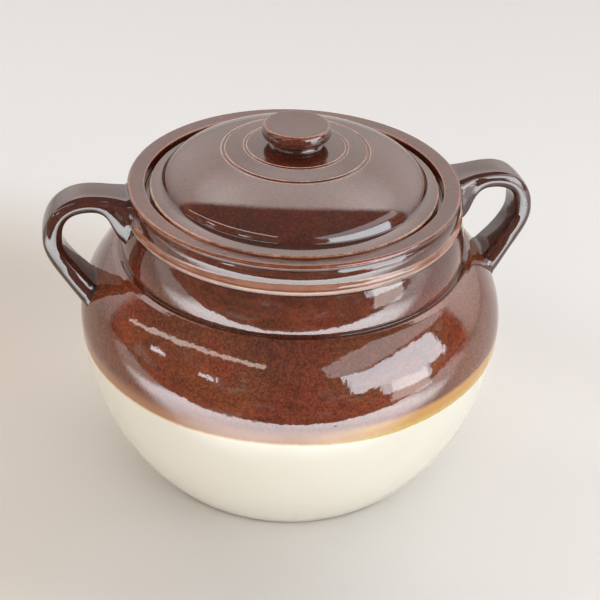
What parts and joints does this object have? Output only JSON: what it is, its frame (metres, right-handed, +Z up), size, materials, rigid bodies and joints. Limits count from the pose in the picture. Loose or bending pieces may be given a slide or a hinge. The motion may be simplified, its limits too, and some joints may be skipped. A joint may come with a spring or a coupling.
{
  "type": "stoneware bean pot",
  "caption": "Round-bellied stoneware bean pot with strap handles and a loose domed drop-in lid with a knob, brown glaze over cream.",
  "frame": {"origin": "middle of the foot, on the surface the pot stands on", "axes": "+Z up along the pot's axis, +X towards the right handle, -Y towards the viewer"},
  "size_m": [0.266, 0.2328, 0.2005],
  "materials": {
    "stoneware_two_glaze": "glossy dark brown glaze over a glossy cream glaze, with a soft tan line where they meet and bare clay under the foot",
    "brown_glaze": "glossy dark brown glaze that breaks to tan on the edges"
  },
  "bodies": {
    "pot": {"pot_body": "stoneware_two_glaze", "handle_left": "brown_glaze", "handle_right": "brown_glaze"},
    "lid": {"lid": "brown_glaze", "knob": "brown_glaze"}
  },
  "joints": [
    {"name": "lid_lift", "type": "slide", "parent": "pot", "child": "lid", "axis": [0, 0, 1], "range_m": [0, 0.06]}
  ]
}
